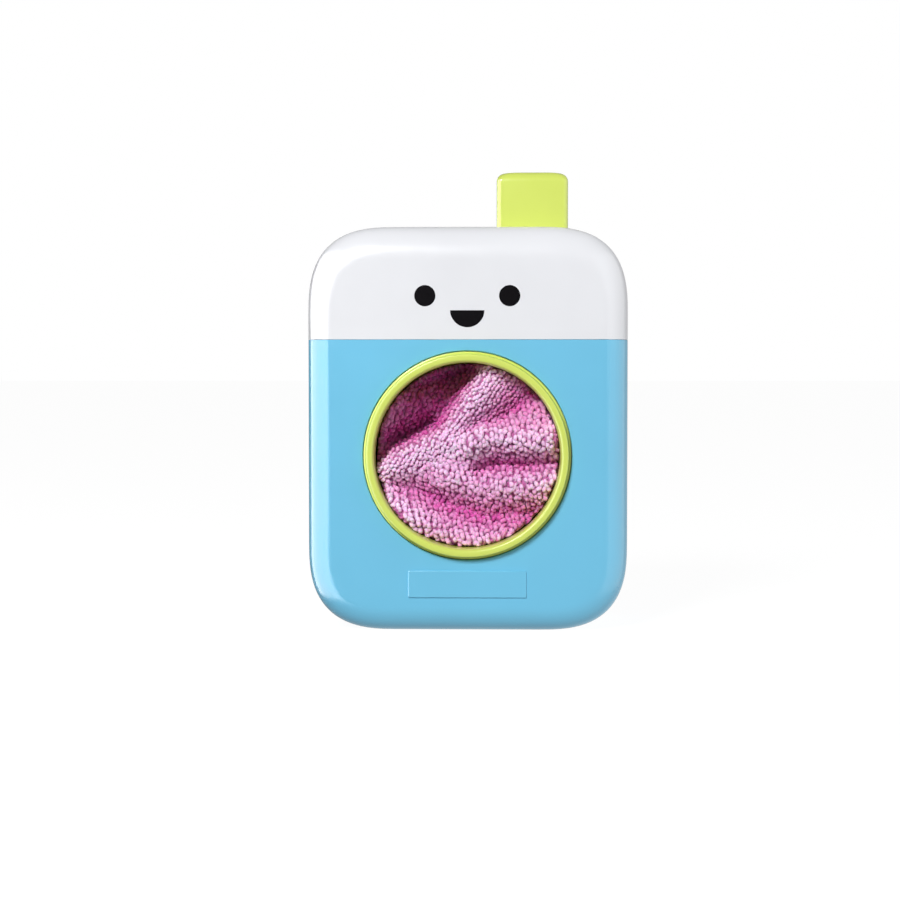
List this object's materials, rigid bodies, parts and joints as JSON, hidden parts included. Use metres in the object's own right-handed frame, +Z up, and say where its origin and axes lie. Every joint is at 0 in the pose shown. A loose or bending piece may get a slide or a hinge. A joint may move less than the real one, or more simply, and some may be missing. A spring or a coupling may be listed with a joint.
{
  "type": "toy washing machine",
  "caption": "Upright toy washing machine with a round window, a terry cloth in its drum, and a press tab on top that spins the drum through a rack and gears.",
  "frame": {"origin": "middle of the flat base, halfway between the front and back faces of the casing", "axes": "+X to the right as seen from the front, -Y out of the front face with the window, +Z up"},
  "size_m": [0.16, 0.089, 0.231],
  "materials": {
    "white_plastic": "smooth moulded gloss",
    "blue_plastic": "smooth moulded gloss",
    "lime_plastic": "smooth moulded gloss",
    "natural_plastic": "uncoloured moulded",
    "steel": "zinc plated",
    "terry_fabric": "looped cotton terry"
  },
  "bodies": {
    "casing": {"front_shell": "blue_plastic", "back_shell": "blue_plastic", "top_cover": "white_plastic", "gear_plate": "natural_plastic", "gear_cover": "natural_plastic", "drum_bush": "natural_plastic", "idler_pin": "steel", "return_spring": "steel", "case_screw_1": "steel", "case_screw_2": "steel", "case_screw_3": "steel", "case_screw_4": "steel", "cover_screw_1": "steel", "cover_screw_2": "steel", "gear_plate_screw_1": "steel", "gear_plate_screw_2": "steel", "gear_plate_screw_3": "steel", "gear_plate_screw_4": "steel", "gear_cover_screw_1": "steel", "gear_cover_screw_2": "steel", "gear_cover_screw_3": "steel"},
    "drum": {"drum_basket": "lime_plastic", "drum_ring": "lime_plastic", "drum_gear": "natural_plastic", "drum_screw": "steel"},
    "idler": {"idler_gear": "natural_plastic"},
    "plunger": {"press_tab": "lime_plastic"},
    "washcloth": {"washcloth": "terry_fabric"}
  },
  "joints": [
    {"name": "drum_spin", "type": "hinge", "parent": "casing", "child": "drum", "pos_m": [0, 0, 0.088], "axis": [0, 1, 0], "range_deg": [-515.6, 0]},
    {"name": "idler_spin", "type": "hinge", "parent": "casing", "child": "idler", "pos_m": [0.022, 0, 0.10185], "axis": [0, 1, 0], "range_deg": [0, 229.2]},
    {"name": "tab_press", "type": "slide", "parent": "casing", "child": "plunger", "axis": [0, 0, -1], "range_m": [0, 0.024], "stiffness_N_per_m": 100, "springref_m": -0.02, "deforming": ["return_spring"]},
    {"name": "washcloth_pull", "type": "slide", "parent": "drum", "child": "washcloth", "axis": [0, -1, 0], "range_m": [0, 0.06]}
  ],
  "couplings": [
    {"joint": "idler_spin", "follows": "drum_spin", "ratio": -0.44444},
    {"joint": "tab_press", "follows": "drum_spin", "m_per_rad": -0.0026667}
  ]
}
